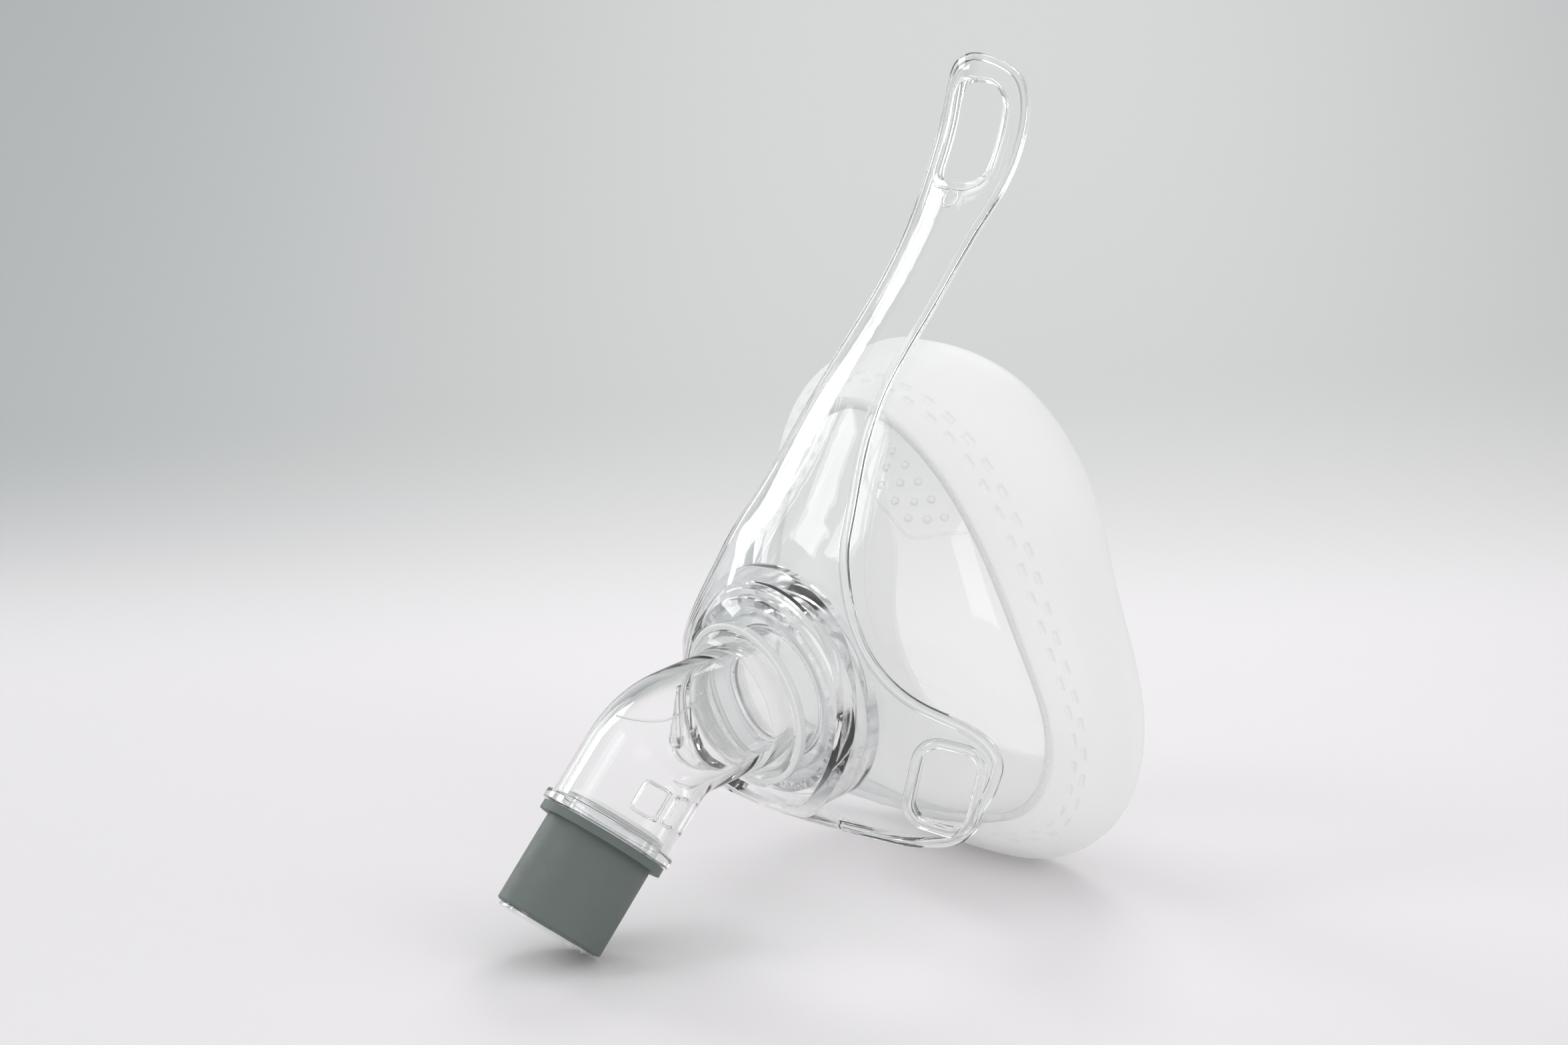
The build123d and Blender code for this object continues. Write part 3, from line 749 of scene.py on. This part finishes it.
moulding("frame", "frame_moulding", FRAME_CLEAR, "mask")
moulding("cushion_shell", "shell_dome", SHELL_CLEAR, "mask")
moulding("hub_ring", "hub_snap_ring", RING_CLEAR, "mask")
moulding("seal_ring", "disc_seal", SEAL, "mask")
elbow = moulding("elbow", "elbow_tube", ELBOW_CLEAR, "elbow_unit",
                 zone=(DISC_CLEAR, *DISC_ZONE))
round_edges(elbow, ELBOW_ROUNDING * MM)
moulding("connector_sleeve", "swivel_sleeve", RING_CLEAR, "elbow_unit")
moulding("flap_root", "flap_fixing", SEAL, "elbow_unit")
moulding("valve_flap", "flap_disc", SEAL, "flap")
moulding("connector", "hose_cuff", GREY, "hose_connector")
cushion = finished("cushion_bulb", cushion_mesh(), SILICONE, "mask", ("cushion",))
small_details()
window_rims()
frame_rims()


# Stage, lights and camera

def gone_along(nodes, link, direction, low, high):
    """How far a place has gone along a direction, from none at low to all at high, in metres."""
    place = node_with(nodes, "TexCoord")
    reach = node_with(nodes, "VectorMath")
    reach.operation = "DOT_PRODUCT"
    reach.inputs[1].default_value = tuple(direction)
    link(place.outputs["Object"], reach.inputs[0])
    ramp = node_with(nodes, "MapRange", From_Min=low, From_Max=high)
    ramp.interpolation_type = "SMOOTHSTEP"
    link(reach.outputs["Value"], ramp.inputs["Value"])
    return ramp.outputs["Result"]


def stage_material():
    """Pale floor that turns into a greyer backdrop behind the object, both darker away from the middle."""
    material, nodes, link, output = new_material("studio_sweep")
    # The greyer backdrop and the darker sides are painted shade, the fall-off of the lamps' light
    right, _, forward = camera_axes()
    leftwards = gone_along(nodes, link, -right, *LEFT_FADE)
    rightwards = gone_along(nodes, link, right, *RIGHT_FADE)
    floor = blended(nodes, link, leftwards, FLOOR_MIDDLE, FLOOR_SHADE_LEFT)
    floor = blended(nodes, link, rightwards, floor, FLOOR_SHADE_RIGHT)
    wall = blended(nodes, link, leftwards, WALL_SHADE_MIDDLE, WALL_SHADE_LEFT)
    wall = blended(nodes, link, rightwards, wall, WALL_SHADE_RIGHT)
    back_and_up = np.array((forward[0], forward[1], 1.0)) - WALL_LEAN * right
    away = gone_along(nodes, link, back_and_up, *WALL_FADE)
    shader = node_with(nodes, "BsdfPrincipled", Roughness=0.6)
    link(blended(nodes, link, away, floor, wall), shader.inputs["Base Color"])
    link(shader.outputs["BSDF"], output.inputs["Surface"])
    return material


def studio_sweep():
    """A floor that curves up behind the object: flat, a quarter circle, then upright, square to the view."""
    right, _, forward = camera_axes()
    away = unit(np.array((forward[0], forward[1], 0.0)))
    near, flat, bend, high, half_width = -6.0, 0.32, 0.5, 1.6, 6.0
    turn = np.linspace(0, pi / 2, 24)
    depth = np.concatenate(([near], flat + bend * np.sin(turn), [flat + bend]))[:, None, None]
    height = np.concatenate(([0.0], bend * (1 - np.cos(turn)), [high]))[:, None, None]
    across = np.linspace(-half_width, half_width, 3)[:, None]
    points = depth * away + height * np.array((0, 0, 1)) + across * right
    sweep = bpy.data.objects.new("studio_sweep", grid_mesh("studio_sweep", points))
    sweep.data.materials.append(stage_material())
    bpy.context.scene.collection.objects.link(sweep)


def area_light(name, place, width, height, watts):
    """A soft white rectangular lamp at a place, facing the mask."""
    lamp = bpy.data.lights.new(name, "AREA")
    lamp.shape = "RECTANGLE"
    lamp.size = width
    lamp.size_y = height
    lamp.energy = watts
    holder = bpy.data.objects.new(name, lamp)
    holder.location = place
    holder.rotation_euler = (Vector(LAMP_AIM) - Vector(place)).to_track_quat("-Z", "Y").to_euler()
    bpy.context.scene.collection.objects.link(holder)


def set_world():
    """Even pale daylight from all round."""
    world = bpy.data.worlds.new("studio")
    world.use_nodes = True
    world.node_tree.nodes["Background"].inputs["Color"].default_value = DAYLIGHT
    world.node_tree.nodes["Background"].inputs["Strength"].default_value = DAYLIGHT_STRENGTH
    bpy.context.scene.world = world


def set_camera():
    """The photograph's camera: its place, angle and focal length, level and unshifted."""
    camera = bpy.data.cameras.new("photo_camera")
    camera.sensor_width = SENSOR_WIDTH
    camera.lens = SENSOR_WIDTH * FOCAL_PIXELS / PHOTO_WIDTH
    camera.clip_start = 10 * MM
    holder = bpy.data.objects.new("photo_camera", camera)
    holder.location = CAMERA_PLACE
    holder.rotation_euler = Vector(camera_axes()[2]).to_track_quat("-Z", "Y").to_euler()
    bpy.context.scene.collection.objects.link(holder)
    bpy.context.scene.camera = holder


studio_sweep()
for lamp in LAMPS:
    area_light(*lamp)
set_world()
set_camera()
bpy.context.scene.view_settings.view_transform = "Standard"
